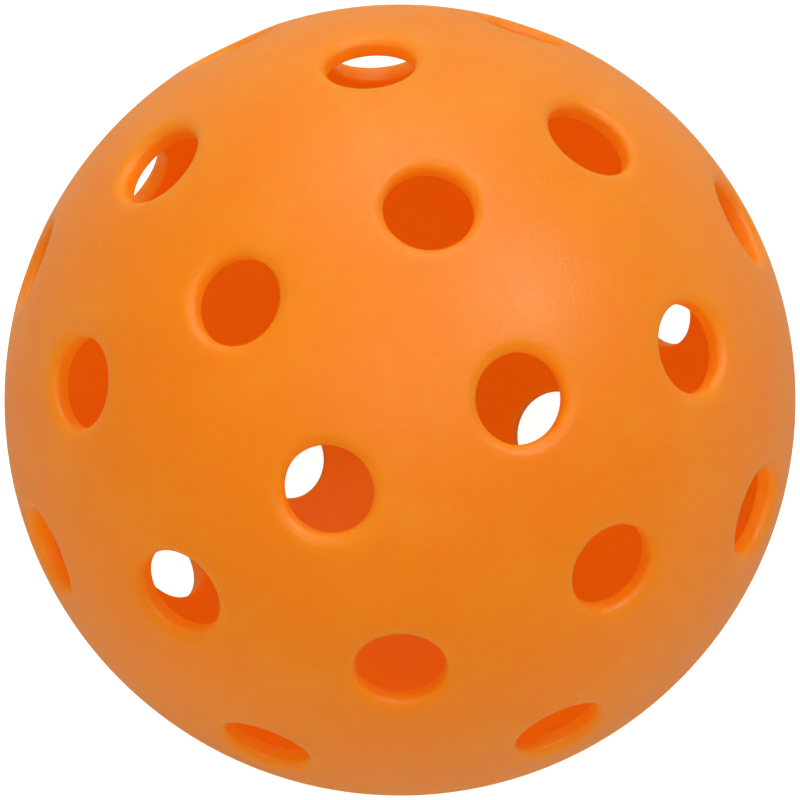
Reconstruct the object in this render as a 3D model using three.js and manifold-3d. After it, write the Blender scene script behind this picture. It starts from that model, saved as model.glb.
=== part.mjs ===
// A 40-hole outdoor pickleball ball: two moulded half shells joined round the equator by a fused seam.
// Each half carries three rings of round holes about its pole, and the lower half sits turned
// about Z against the upper one, so the holes of the two halves are staggered.
// Millimetres. The origin is the centre of the ball, and +Z runs out through the upper pole.
import * as THREE from "three";
import { mergeVertices } from "three/addons/utils/BufferGeometryUtils.js";
import Module from "manifold-3d";

// Shell
const ballRadius = 37;
const wall = 2;
const cavityRadius = ballRadius - wall;

// Holes: each ring is so many holes at one angle from the pole, the first at the start angle about Z.
const holeRadius = 4.14;
const rimWidth = 1.1;
const rimDepth = 0.8;
const holeRings = [
  { count: 4, fromPole: 21.9, start: 0 },
  { count: 8, fromPole: 49.8, start: 22.5 },
  { count: 8, fromPole: 75.6, start: 0 },
];
const lowerHalfTurn = 24.2;

// Joint at the equator: a tongue on the upper half stands in a groove in the lower half,
// and the fused seam fills the space that is left between them.
const seamHeight = 0.4;
const seamRecess = 0.05;
const bandRadius = 34.4;
const bandHeight = 2.6;
const bandTaper = 0.8;
const jointMiddle = 35.7;
const tongueWidth = 0.7;
const tongueLength = 1.3;
const grooveWidth = 1.2;
const grooveDepth = 1.2;

// Facets
const turnSteps = 40;
const outerArcSteps = 10;
const innerArcSteps = 8;
const holeSides = 14;
const rimSteps = 2;
const cutterReach = 3;

const shellColor = 0xf58a2c;
const seamColor = 0xee8226;

const wasm = await Module();
wasm.setup();

const radians = THREE.MathUtils.degToRad;
const point = (r, z) => new THREE.Vector2(r, z);

// Points along a circle about the origin of the profile plane, from one height to another.
function arcByHeight(radius, fromZ, toZ, steps) {
  const from = Math.asin(fromZ / radius);
  const to = Math.asin(toZ / radius);
  const points = [];
  for (let i = 0; i <= steps; i++) {
    const angle = from + ((to - from) * i) / steps;
    points.push(point(radius * Math.cos(angle), radius * Math.sin(angle)));
  }
  return points;
}

// A profile of (radius, height) turned about Z, with only its positions kept.
function turned(profile, sides) {
  const geometry = new THREE.LatheGeometry(profile, sides);
  geometry.deleteAttribute("normal");
  geometry.deleteAttribute("uv");
  geometry.rotateX(Math.PI / 2);
  return mergeVertices(geometry, 1e-5);
}

function solidFrom(geometry) {
  const vertProperties = new Float32Array(geometry.attributes.position.array);
  const triVerts = new Uint32Array(geometry.index.array);
  return new wasm.Manifold(new wasm.Mesh({ numProp: 3, vertProperties, triVerts }));
}

function geometryFrom(solid) {
  const mesh = solid.getMesh();
  const geometry = new THREE.BufferGeometry();
  geometry.setAttribute("position", new THREE.BufferAttribute(mesh.vertProperties, 3));
  geometry.setIndex(new THREE.BufferAttribute(mesh.triVerts, 1));
  geometry.computeVertexNormals();
  return geometry;
}

// The upper half from its inner pole down to the seam, round the tongue and back up the outside.
function upperProfile() {
  const face = seamHeight / 2;
  const tip = face - tongueLength;
  const bandEnd = bandHeight + bandTaper;
  return [
    ...arcByHeight(cavityRadius, cavityRadius, bandEnd, innerArcSteps),
    point(bandRadius, bandHeight),
    point(bandRadius, face),
    point(jointMiddle - tongueWidth / 2, face),
    point(jointMiddle - tongueWidth / 2, tip),
    point(jointMiddle + tongueWidth / 2, tip),
    point(jointMiddle + tongueWidth / 2, face),
    ...arcByHeight(ballRadius, face, ballRadius, outerArcSteps),
  ];
}

// The lower half from its outer pole up to the seam, round the groove and back down the inside.
function lowerProfile() {
  const face = -seamHeight / 2;
  const floor = face - grooveDepth;
  const bandEnd = bandHeight + bandTaper;
  return [
    ...arcByHeight(ballRadius, -ballRadius, face, outerArcSteps),
    point(jointMiddle + grooveWidth / 2, face),
    point(jointMiddle + grooveWidth / 2, floor),
    point(jointMiddle - grooveWidth / 2, floor),
    point(jointMiddle - grooveWidth / 2, face),
    point(bandRadius, face),
    point(bandRadius, -bandHeight),
    ...arcByHeight(cavityRadius, -bandEnd, -cavityRadius, innerArcSteps),
  ];
}

// The fused plastic between the halves: a flat band through the wall, with a channel round the tongue.
function seamProfile() {
  const face = seamHeight / 2;
  const tip = face - tongueLength;
  const floor = -face - grooveDepth;
  return [
    point(bandRadius, face),
    point(bandRadius, -face),
    point(jointMiddle - grooveWidth / 2, -face),
    point(jointMiddle - grooveWidth / 2, floor),
    point(jointMiddle + grooveWidth / 2, floor),
    point(jointMiddle + grooveWidth / 2, -face),
    point(ballRadius - seamRecess, -face),
    point(ballRadius - seamRecess, face),
    point(jointMiddle + tongueWidth / 2, face),
    point(jointMiddle + tongueWidth / 2, tip),
    point(jointMiddle - tongueWidth / 2, tip),
    point(jointMiddle - tongueWidth / 2, face),
    point(bandRadius, face),
  ];
}

// The space of one hole, standing along Z: a straight bore whose rim rolls over, wider than it is
// deep, until it runs level with the ball's surface.
function holeSpace() {
  const rimEnd = holeRadius + rimWidth;
  const surfaceSlope = rimEnd / Math.sqrt(ballRadius ** 2 - rimEnd ** 2);
  const fullTurn = Math.PI / 2 + Math.atan((surfaceSlope * rimWidth) / rimDepth);
  const rimPoint = (turn) => ({
    r: holeRadius + rimWidth * (1 - Math.cos(turn)),
    rise: rimDepth * Math.sin(turn),
  });
  const mouth = rimPoint(fullTurn);
  const rimBase = Math.sqrt(ballRadius ** 2 - mouth.r ** 2) - mouth.rise;
  const profile = [point(0, cavityRadius - cutterReach), point(holeRadius, cavityRadius - cutterReach)];
  for (let i = 0; i <= rimSteps; i++) {
    const { r, rise } = rimPoint((fullTurn * i) / rimSteps);
    profile.push(point(r, rimBase + rise));
  }
  const outside = profile[profile.length - 1].clone().multiplyScalar((ballRadius + cutterReach) / ballRadius);
  profile.push(outside, point(0, outside.y));
  return turned(profile, holeSides);
}

// Directions of one half's hole axes; side is 1 for the upper half and -1 for the lower.
function holeAxes(side, turn) {
  const axes = [];
  for (const ring of holeRings) {
    for (let i = 0; i < ring.count; i++) {
      const about = radians(turn + ring.start + (360 * i) / ring.count);
      const down = radians(ring.fromPole);
      axes.push(
        new THREE.Vector3(
          Math.sin(down) * Math.cos(about),
          Math.sin(down) * Math.sin(about),
          side * Math.cos(down),
        ),
      );
    }
  }
  return axes;
}

function halfShell(profile, axes) {
  const up = new THREE.Vector3(0, 0, 1);
  let solid = solidFrom(turned(profile, turnSteps));
  for (const axis of axes) {
    const toAxis = new THREE.Quaternion().setFromUnitVectors(up, axis);
    solid = solid.subtract(solidFrom(holeSpace().applyQuaternion(toAxis)));
  }
  return geometryFrom(solid);
}

function plastic(color) {
  return new THREE.MeshStandardMaterial({ color, roughness: 0.5, metalness: 0 });
}

function piece(name, geometry, material) {
  const mesh = new THREE.Mesh(geometry, material);
  mesh.name = name;
  return mesh;
}

const ball = new THREE.Group();
ball.add(piece("upper_half_shell", halfShell(upperProfile(), holeAxes(1, 0)), plastic(shellColor)));
ball.add(
  piece("lower_half_shell", halfShell(lowerProfile(), holeAxes(-1, lowerHalfTurn)), plastic(shellColor)),
);
ball.add(piece("weld_seam", turned(seamProfile(), turnSteps), plastic(seamColor)));

export default ball;
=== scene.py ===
"""A 40-hole outdoor pickleball ball: the finished look of its two half shells and the seam between them.

The shells are built in millimetres about the centre of the ball, with +Z through the upper pole, and are
scaled to metres when they become meshes.
"""

import math

import bmesh
import bpy
import numpy as np
from mathutils import Matrix, Vector
from mathutils.geometry import delaunay_2d_cdt


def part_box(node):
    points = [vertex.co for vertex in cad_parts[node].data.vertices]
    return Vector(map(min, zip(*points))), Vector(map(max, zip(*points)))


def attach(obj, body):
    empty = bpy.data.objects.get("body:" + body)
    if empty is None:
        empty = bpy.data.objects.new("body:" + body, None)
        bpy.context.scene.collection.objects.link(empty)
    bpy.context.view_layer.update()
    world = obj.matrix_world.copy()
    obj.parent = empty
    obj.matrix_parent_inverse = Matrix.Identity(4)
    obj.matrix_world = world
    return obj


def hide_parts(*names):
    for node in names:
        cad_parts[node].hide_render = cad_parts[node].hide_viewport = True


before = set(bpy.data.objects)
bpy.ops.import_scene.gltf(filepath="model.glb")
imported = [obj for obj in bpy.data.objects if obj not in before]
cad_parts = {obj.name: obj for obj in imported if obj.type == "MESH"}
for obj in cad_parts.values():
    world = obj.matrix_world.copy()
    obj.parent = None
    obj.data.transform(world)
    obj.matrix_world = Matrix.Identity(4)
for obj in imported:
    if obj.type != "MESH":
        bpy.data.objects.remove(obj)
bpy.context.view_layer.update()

MM = 0.001

# Shell
BALL_RADIUS = round(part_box("upper_half_shell")[1].z / MM, 3)
WALL = 2.0
CAVITY_RADIUS = BALL_RADIUS - WALL

# Holes: each ring is (number of holes, degrees from the pole, start angle about Z)
HOLE_RADIUS = 4.14
RIM_WIDTH = 1.1
RIM_DEPTH = 0.8
INNER_ROUND = 0.25
HOLE_RINGS = ((4, 21.9, 0.0), (8, 49.8, 22.5), (8, 75.6, 0.0))
LOWER_HALF_TURN = 24.2

# Joint at the equator
SEAM_HALF_HEIGHT = 0.2
SEAM_RECESS = 0.05
EDGE_ROUND = 0.15
BAND_RADIUS = 34.4
BAND_HEIGHT = 2.6
BAND_TAPER = 0.8
JOINT_MIDDLE = 35.7
TONGUE_WIDTH = 0.7
TONGUE_LENGTH = 1.3
GROOVE_WIDTH = 1.2
GROOVE_DEPTH = 1.2
FUSION_GAP = 0.01
SEAM_CROWN = 0.02

# Mesh
OUTER_SPACING = 1.1
INNER_SPACING = 1.5
EQUATOR_SIDES = 240
HOLE_SIDES = 72
RIM_STEPS = 10
BORE_STEPS = 2
INNER_ROUND_STEPS = 4
EDGE_ROUND_STEPS = 3
# Distances from a hole's rim to the rings of vertices round it
COLLAR_STEPS = (0.45, 0.95)
# Room kept free of fill vertices beside a ring, and of collar vertices above the edge, in spacings
FILL_ROOM = 0.6
COLLAR_ROOM = 0.3
SHARP_ANGLE = math.radians(40)

# Camera: its direction from the ball, the level direction to the picture's right, and its distance
VIEW_FROM_POLE = math.radians(8.41)
VIEW_ABOUT_Z = math.radians(-137.48)
PICTURE_RIGHT_ABOUT_Z = math.radians(-70.82)
VIEW_DISTANCE = 20.2 * BALL_RADIUS * MM
BALL_SHARE_OF_FRAME = 0.98925
SENSOR = 36.0

# Stage: how bright the floor and walls look to the camera, and how much light of their own they cast
FLOOR_RADIUS = 3.0
FLOOR_GREY = (0.5, 0.5, 0.5, 1.0)
FLOOR_SEEN, FLOOR_CAST = 0.93, 0.0
WALLS_SEEN, WALLS_CAST = 1.0, 0.16
WHITE = (1.0, 1.0, 1.0, 1.0)


# ---------------------------------------------------------------- shell geometry


def side_axes(axis):
    """Two unit vectors square to axis and to each other."""
    helper = np.array((0.0, 0.0, 1.0)) if abs(axis[2]) < 0.9 else np.array((1.0, 0.0, 0.0))
    u = np.cross(helper, axis)
    u /= np.linalg.norm(u)
    return u, np.cross(axis, u)


def ring(axis, r, height, sides, turn=0.0):
    """Points on a circle of radius r about axis, at that height along it. turn is in shares of one side."""
    u, v = side_axes(axis)
    t = (np.arange(sides) + turn) * (2 * math.pi / sides)
    return height * axis + r * (np.outer(np.cos(t), u) + np.outer(np.sin(t), v))


def even_directions(spacing, radius):
    """Unit vectors spread evenly over a sphere, about spacing apart on that radius (a Fibonacci lattice)."""
    area_each = spacing**2 * math.sqrt(3) / 2
    count = round(4 * math.pi * radius**2 / area_each)
    k = np.arange(count) + 0.5
    z = 1 - 2 * k / count
    about = k * math.pi * (3 - math.sqrt(5))
    r = np.sqrt(1 - z**2)
    return np.column_stack((r * np.cos(about), r * np.sin(about), z))


def spherical_triangles(directions, label):
    """Delaunay triangles of unit vectors over the upper hemisphere, by stereographic projection.

    A triangle whose three corners carry the same label fills a hole, and is left out.
    """
    flat = directions[:, :2] / (1 + directions[:, 2:])
    points = [Vector(p) for p in flat]
    found = delaunay_2d_cdt(points, [], [], 0, 1e-9, True)
    faces, origin = found[2], found[3]
    triangles = []
    for face in faces:
        corners = [origin[i][0] for i in face]
        labels = {int(label[i]) for i in corners}
        if len(labels) > 1 or labels == {0}:
            triangles.append(corners)
    return triangles


class Shell:
    """Vertices and faces of one closed shell, gathered ring by ring."""

    def __init__(self):
        self.vertices = []
        self.faces = []

    def add(self, points):
        start = len(self.vertices)
        self.vertices.extend(points.tolist())
        return np.arange(start, start + len(points))

    def bridge(self, a, b):
        """Quads between two rings of equal count."""
        for i in range(len(a)):
            j = (i + 1) % len(a)
            self.faces.append((int(a[i]), int(a[j]), int(b[j]), int(b[i])))

    def cover(self, index, directions, label):
        """Triangles over part of a sphere, open at the labelled rings."""
        for triangle in spherical_triangles(directions, label):
            self.faces.append([int(index[i]) for i in triangle])


def hole_axes(turn):
    """Unit vectors along the hole axes of one half, all with z above zero."""
    axes = []
    for count, from_pole, start in HOLE_RINGS:
        for i in range(count):
            about = math.radians(turn + start + 360 * i / count)
            down = math.radians(from_pole)
            axes.append(
                np.array(
                    (math.sin(down) * math.cos(about), math.sin(down) * math.sin(about), math.cos(down))
                )
            )
    return axes


def hole_profile():
    """(radius, height) points from the ball's surface, over the rounded rim, through the wall to the cavity.

    The rim rolls over wider than it is deep, until it runs level with the ball's surface.
    """
    rim_end = HOLE_RADIUS + RIM_WIDTH
    surface_slope = rim_end / math.sqrt(BALL_RADIUS**2 - rim_end**2)
    full_turn = math.pi / 2 + math.atan(surface_slope * RIM_WIDTH / RIM_DEPTH)
    mouth_r = HOLE_RADIUS + RIM_WIDTH * (1 - math.cos(full_turn))
    rim_y = math.sqrt(BALL_RADIUS**2 - mouth_r**2) - RIM_DEPTH * math.sin(full_turn)
    inner_r = HOLE_RADIUS + INNER_ROUND
    inner_y = math.sqrt((CAVITY_RADIUS + INNER_ROUND) ** 2 - inner_r**2)
    profile = []
    for i in range(RIM_STEPS + 1):
        a = full_turn * (1 - i / RIM_STEPS)
        profile.append((HOLE_RADIUS + RIM_WIDTH * (1 - math.cos(a)), rim_y + RIM_DEPTH * math.sin(a)))
    for i in range(1, BORE_STEPS):
        profile.append((HOLE_RADIUS, rim_y + (inner_y - rim_y) * i / BORE_STEPS))
    to_cavity = math.pi + math.atan2(inner_y, inner_r)
    for i in range(INNER_ROUND_STEPS + 1):
        a = math.pi + (to_cavity - math.pi) * i / INNER_ROUND_STEPS
        profile.append((inner_r + INNER_ROUND * math.cos(a), inner_y + INNER_ROUND * math.sin(a)))
    return profile


def cover_sphere(shell, radius, axes, rim, edge, spacing):
    """One spherical skin of a half: the given rim ring of each hole, the edge ring and even points between.

    rim is (radius, height) of a hole's rim ring, and edge the vertices of the ring round the equator.
    Returns the vertices of each rim ring.
    """
    rim_angle = math.atan2(*rim)
    rims = [shell.add(ring(axis, rim[0], rim[1], HOLE_SIDES)) for axis in axes]
    collars = []
    for k, step in enumerate(COLLAR_STEPS):
        a = rim_angle + step / radius
        r, height = radius * math.sin(a), radius * math.cos(a)
        turn = 0.5 * ((k + 1) % 2)
        collars += [ring(axis, r, height, HOLE_SIDES, turn) for axis in axes]
    collars = np.vstack(collars)
    edge_z = shell.vertices[edge[0]][2]
    belt_z = edge_z + spacing
    pole = np.array((0.0, 0.0, 1.0))
    belt = ring(pole, math.sqrt(radius**2 - belt_z**2), belt_z, EQUATOR_SIDES, 0.5)
    fill = even_directions(spacing, radius) * radius
    fill = np.vstack((belt, fill[fill[:, 2] > belt_z + FILL_ROOM * spacing]))
    clear = rim_angle + (COLLAR_STEPS[-1] + FILL_ROOM * spacing) / radius
    for axis in axes:
        fill = fill[fill @ axis < radius * math.cos(clear)]
    loose = [collars[collars[:, 2] > edge_z + COLLAR_ROOM * spacing], fill]
    free = shell.add(np.vstack(loose))
    index = np.concatenate([edge, *rims, free])
    label = np.zeros(len(index), int)
    at = len(edge)
    for k, one in enumerate(rims):
        label[at : at + len(one)] = k + 1
        at += len(one)
    places = np.array([shell.vertices[i] for i in index])
    directions = places / np.linalg.norm(places, axis=1)[:, None]
    shell.cover(index, directions, label)
    return rims


def edge_profile(joint):
    """(radius, height) points from the ball's surface round the half's edge to the inside of its band."""
    r_face = BALL_RADIUS - EDGE_ROUND
    y_face = SEAM_HALF_HEIGHT
    points = []
    for i in range(EDGE_ROUND_STEPS + 1):
        a = math.pi / 2 * i / EDGE_ROUND_STEPS
        y = y_face + EDGE_ROUND * (1 - math.sin(a))
        r = r_face + EDGE_ROUND * math.cos(a)
        points.append((min(r, math.sqrt(BALL_RADIUS**2 - y**2)), y))
    points += joint
    points += [(BAND_RADIUS, y_face), (BAND_RADIUS, BAND_HEIGHT)]
    end = BAND_HEIGHT + BAND_TAPER
    points.append((math.sqrt(CAVITY_RADIUS**2 - end**2), end))
    return points


def tongue_profile():
    outer, inner = JOINT_MIDDLE + TONGUE_WIDTH / 2, JOINT_MIDDLE - TONGUE_WIDTH / 2
    tip = SEAM_HALF_HEIGHT - TONGUE_LENGTH
    return [(outer, SEAM_HALF_HEIGHT), (outer, tip), (inner, tip), (inner, SEAM_HALF_HEIGHT)]


def groove_profile():
    outer, inner = JOINT_MIDDLE + GROOVE_WIDTH / 2, JOINT_MIDDLE - GROOVE_WIDTH / 2
    floor = SEAM_HALF_HEIGHT + GROOVE_DEPTH
    return [(outer, SEAM_HALF_HEIGHT), (outer, floor), (inner, floor), (inner, SEAM_HALF_HEIGHT)]


def build_half(name, joint, side, turn):
    """One moulded half. side is 1 for the upper half and -1 for the lower, which is mirrored in the seam."""
    shell = Shell()
    pole = np.array((0.0, 0.0, 1.0))
    edge = [shell.add(ring(pole, r, y, EQUATOR_SIDES)) for r, y in edge_profile(joint)]
    for a, b in zip(edge, edge[1:]):
        shell.bridge(a, b)
    profile = hole_profile()
    axes = hole_axes(turn)
    outer = cover_sphere(shell, BALL_RADIUS, axes, profile[0], edge[0], OUTER_SPACING)
    inner = cover_sphere(shell, CAVITY_RADIUS, axes, profile[-1], edge[-1], INNER_SPACING)
    for axis, first, last in zip(axes, outer, inner):
        walls = [shell.add(ring(axis, r, y, HOLE_SIDES)) for r, y in profile[1:-1]]
        for a, b in zip([first, *walls], [*walls, last]):
            shell.bridge(a, b)
    flip = np.array((1.0, 1.0, side))
    return mesh_object(name, np.array(shell.vertices) * flip, shell.faces)


def build_seam(name):
    """The fused ring: a flat band through the wall, a channel round the tongue and a low bead outside."""
    face = SEAM_HALF_HEIGHT - FUSION_GAP
    tongue = TONGUE_WIDTH / 2 + FUSION_GAP
    groove = GROOVE_WIDTH / 2 - FUSION_GAP
    tip = SEAM_HALF_HEIGHT - TONGUE_LENGTH - FUSION_GAP
    floor = -SEAM_HALF_HEIGHT - GROOVE_DEPTH + FUSION_GAP
    bead = BALL_RADIUS - SEAM_RECESS
    outline = [
        (BAND_RADIUS, face),
        (BAND_RADIUS, -face),
        (JOINT_MIDDLE - groove, -face),
        (JOINT_MIDDLE - groove, floor),
        (JOINT_MIDDLE + groove, floor),
        (JOINT_MIDDLE + groove, -face),
        (bead - SEAM_CROWN, -face),
        (bead, -face / 2),
        (bead + SEAM_CROWN, 0.0),
        (bead, face / 2),
        (bead - SEAM_CROWN, face),
        (JOINT_MIDDLE + tongue, face),
        (JOINT_MIDDLE + tongue, tip),
        (JOINT_MIDDLE - tongue, tip),
        (JOINT_MIDDLE - tongue, face),
    ]
    shell = Shell()
    pole = np.array((0.0, 0.0, 1.0))
    rings = [shell.add(ring(pole, r, y, EQUATOR_SIDES)) for r, y in outline]
    for a, b in zip(rings, [*rings[1:], rings[0]]):
        shell.bridge(a, b)
    return mesh_object(name, np.array(shell.vertices), shell.faces)


def mesh_object(name, vertices, faces):
    """A smooth-shaded object from millimetre vertices, with its faces turned outwards."""
    mesh = bpy.data.meshes.new(name)
    mesh.from_pydata((vertices * MM).tolist(), [], faces)
    bm = bmesh.new()
    bm.from_mesh(mesh)
    bmesh.ops.recalc_face_normals(bm, faces=bm.faces)
    bm.to_mesh(mesh)
    bm.free()
    mesh.shade_smooth()
    mesh.set_sharp_from_angle(angle=SHARP_ANGLE)
    obj = bpy.data.objects.new(name, mesh)
    bpy.context.scene.collection.objects.link(obj)
    return obj


# ---------------------------------------------------------------- material


class Nodes:
    """A short way to add and link shader nodes."""

    def __init__(self, owner):
        owner.use_nodes = True
        self.tree = owner.node_tree
        self.tree.nodes.clear()

    def add(self, kind, values=None, **settings):
        node = self.tree.nodes.new(kind)
        for key, value in settings.items():
            setattr(node, key, value)
        for key, value in (values or {}).items():
            node.inputs[key].default_value = value
        return node

    def link(self, out, into):
        self.tree.links.new(out, into)

    def noise(self, place, size_mm, detail=2.0, roughness=0.5):
        values = {"Scale": 1 / (size_mm * MM), "Detail": detail, "Roughness": roughness}
        node = self.add("ShaderNodeTexNoise", values)
        self.link(place, node.inputs["Vector"])
        return node.outputs["Fac"]

    def span(self, value, low, high, to_low=0.0, to_high=1.0):
        node = self.add(
            "ShaderNodeMapRange",
            {"From Min": low, "From Max": high, "To Min": to_low, "To Max": to_high},
            clamp=True,
        )
        self.link(value, node.inputs["Value"])
        return node.outputs["Result"]

    def math(self, operation, a, b):
        node = self.add("ShaderNodeMath", operation=operation)
        for socket, value in zip(node.inputs, (a, b)):
            if isinstance(value, (int, float)):
                socket.default_value = value
            else:
                self.link(value, socket)
        return node.outputs[0]

    def mix(self, share, a, b):
        node = self.add("ShaderNodeMix", data_type="RGBA")
        for key, value in ((0, share), (6, a), (7, b)):
            if isinstance(value, (int, float, tuple)):
                node.inputs[key].default_value = value
            else:
                self.link(value, node.inputs[key])
        return node.outputs[2]


ORANGE = (0.95, 0.272, 0.003, 1.0)
ORANGE_DEEP = (0.94, 0.245, 0.002, 1.0)
ORANGE_PALE = (0.95, 0.33, 0.015, 1.0)
# Painted glow: the plastic gives off a little orange light of its own, which brightens its shaded inside as
# much as its lit outside.
PAINTED_GLOW = (1.0, 0.31, 0.0, 1.0)
PAINTED_GLOW_STRENGTH = 0.135


def moulded_plastic(name, roughness, grain_mm):
    """Satin polyethylene: slow cloudiness, pale haze, flecks, a fine moulded grain, light through it and a
    painted orange glow.
    """
    material = bpy.data.materials.new(name)
    n = Nodes(material)
    out = n.add("ShaderNodeOutputMaterial")
    place = n.add("ShaderNodeTexCoord").outputs["Object"]
    cloud = n.noise(place, 16.0, detail=3.0)
    haze = n.noise(place, 9.0, detail=4.0, roughness=0.6)
    fleck = n.noise(place, 1.3, detail=2.0)
    grain = n.noise(place, grain_mm, detail=3.0, roughness=0.6)
    peel = n.noise(place, 2.6, detail=1.0)
    colour = n.mix(n.span(cloud, 0.35, 0.65), ORANGE, ORANGE_DEEP)
    colour = n.mix(n.span(haze, 0.48, 0.72, 0.0, 0.55), colour, ORANGE_PALE)
    colour = n.mix(n.span(fleck, 0.62, 0.8, 0.0, 0.35), colour, ORANGE_PALE)
    rough = n.span(cloud, 0.3, 0.7, roughness - 0.03, roughness + 0.04)
    rough = n.math("ADD", rough, n.span(grain, 0.3, 0.7, -0.07, 0.07))
    height = n.math("ADD", n.math("MULTIPLY", grain, 0.05), n.math("MULTIPLY", peel, 0.03))
    bump = n.add("ShaderNodeBump", {"Strength": 0.6, "Distance": MM})
    n.link(height, bump.inputs["Height"])
    shader = n.add(
        "ShaderNodeBsdfPrincipled",
        {
            "IOR": 1.5,
            "Specular IOR Level": 0.5,
            "Subsurface Weight": 1.0,
            "Subsurface Radius": (4.0, 1.6, 0.5),
            "Subsurface Scale": MM,
            # Painted glow: the plastic's own orange light, which brightens its shaded inside
            "Emission Color": PAINTED_GLOW,
            "Emission Strength": PAINTED_GLOW_STRENGTH,
        },
    )
    n.link(colour, shader.inputs["Base Color"])
    n.link(rough, shader.inputs["Roughness"])
    n.link(bump.outputs["Normal"], shader.inputs["Normal"])
    n.link(shader.outputs[0], out.inputs["Surface"])
    return material


# ---------------------------------------------------------------- stage


def view_axes():
    """Unit vectors towards the camera, to the picture's right and to its top."""
    flat = math.sin(VIEW_FROM_POLE)
    back = Vector((flat * math.cos(VIEW_ABOUT_Z), flat * math.sin(VIEW_ABOUT_Z), math.cos(VIEW_FROM_POLE)))
    level_right = Vector((math.cos(PICTURE_RIGHT_ABOUT_Z), math.sin(PICTURE_RIGHT_ABOUT_Z), 0.0))
    up = back.cross(level_right).normalized()
    right = up.cross(back)
    return back, right, up


def add_camera():
    back, right, up = view_axes()
    data = bpy.data.cameras.new("camera")
    data.sensor_width = SENSOR
    half_angle = math.asin(BALL_RADIUS * MM / VIEW_DISTANCE)
    data.lens = BALL_SHARE_OF_FRAME * SENSOR / 2 / math.tan(half_angle)
    camera = bpy.data.objects.new("camera", data)
    turn = Matrix((right, up, back)).transposed().to_4x4()
    camera.matrix_world = Matrix.Translation(back * VIEW_DISTANCE) @ turn
    bpy.context.scene.collection.objects.link(camera)
    bpy.context.scene.camera = camera


def add_light(name, towards, distance, size, power, shines=True):
    """A square soft box that faces the ball. towards is (right, up, to the camera), seen in the picture.

    One that doesn't shine lights the plastic but leaves no gloss on it.
    """
    back, right, up = view_axes()
    data = bpy.data.lights.new(name, "AREA")
    data.size = size
    data.energy = power
    light = bpy.data.objects.new(name, data)
    direction = (right * towards[0] + up * towards[1] + back * towards[2]).normalized()
    light.location = direction * distance
    light.visible_glossy = shines
    light.rotation_euler = direction.to_track_quat("Z", "Y").to_euler()
    bpy.context.scene.collection.objects.link(light)


def add_lights():
    add_light("front", (0.0, 0.1, 1.0), 1.2, 0.7, 2.2)
    add_light("key", (0.55, 0.48, 0.68), 1.0, 0.25, 2.8)
    add_light("top", (0.0, 1.0, 0.45), 1.0, 0.7, 3.3)
    add_light("left", (-0.9, 0.35, 0.5), 1.0, 0.6, 2.2, shines=False)
    add_light("low", (0.0, -0.8, 0.6), 1.0, 0.6, 2.8, shines=False)


def bright_to_camera(n, seen, cast):
    """A strength that is seen by the camera, and a lower one that is cast on everything else."""
    camera_ray = n.add("ShaderNodeLightPath").outputs["Is Camera Ray"]
    return n.span(camera_ray, 0.0, 1.0, cast, seen)


def add_world():
    """White studio walls: bright behind the ball, but a weak light on it."""
    world = bpy.data.worlds.new("studio")
    n = Nodes(world)
    background = n.add("ShaderNodeBackground", {"Color": WHITE})
    n.link(bright_to_camera(n, WALLS_SEEN, WALLS_CAST), background.inputs["Strength"])
    n.link(background.outputs[0], n.add("ShaderNodeOutputWorld").inputs["Surface"])
    bpy.context.scene.world = world


def add_floor():
    bm = bmesh.new()
    bmesh.ops.create_circle(bm, cap_ends=True, radius=FLOOR_RADIUS, segments=64)
    mesh = bpy.data.meshes.new("floor")
    bm.to_mesh(mesh)
    bm.free()
    floor = bpy.data.objects.new("floor", mesh)
    floor.location.z = -BALL_RADIUS * MM
    bpy.context.scene.collection.objects.link(floor)
    material = bpy.data.materials.new("pale_floor")
    n = Nodes(material)
    out = n.add("ShaderNodeOutputMaterial")
    shader = n.add(
        "ShaderNodeBsdfPrincipled",
        {
            "Base Color": FLOOR_GREY,
            "Roughness": 0.9,
            "Emission Color": WHITE,
        },
    )
    n.link(bright_to_camera(n, FLOOR_SEEN, FLOOR_CAST), shader.inputs["Emission Strength"])
    n.link(shader.outputs[0], out.inputs["Surface"])
    mesh.materials.append(material)


# ---------------------------------------------------------------- assembly

add_camera()
add_lights()
add_world()
add_floor()
bpy.context.scene.view_settings.view_transform = "Standard"

shell_plastic = moulded_plastic("shell_plastic", 0.42, 0.22)
seam_plastic = moulded_plastic("seam_plastic", 0.38, 0.5)

upper = build_half("upper_half_moulding", tongue_profile(), 1, 0.0)
lower = build_half("lower_half_moulding", groove_profile(), -1, LOWER_HALF_TURN)
seam = build_seam("fused_seam")

for piece, node, slot, material in (
    (upper, "upper_half_shell", "shell_plastic", shell_plastic),
    (lower, "lower_half_shell", "shell_plastic", shell_plastic),
    (seam, "weld_seam", "seam_plastic", seam_plastic),
):
    piece.data.materials.append(material)
    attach(piece, "root")
    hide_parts(node)
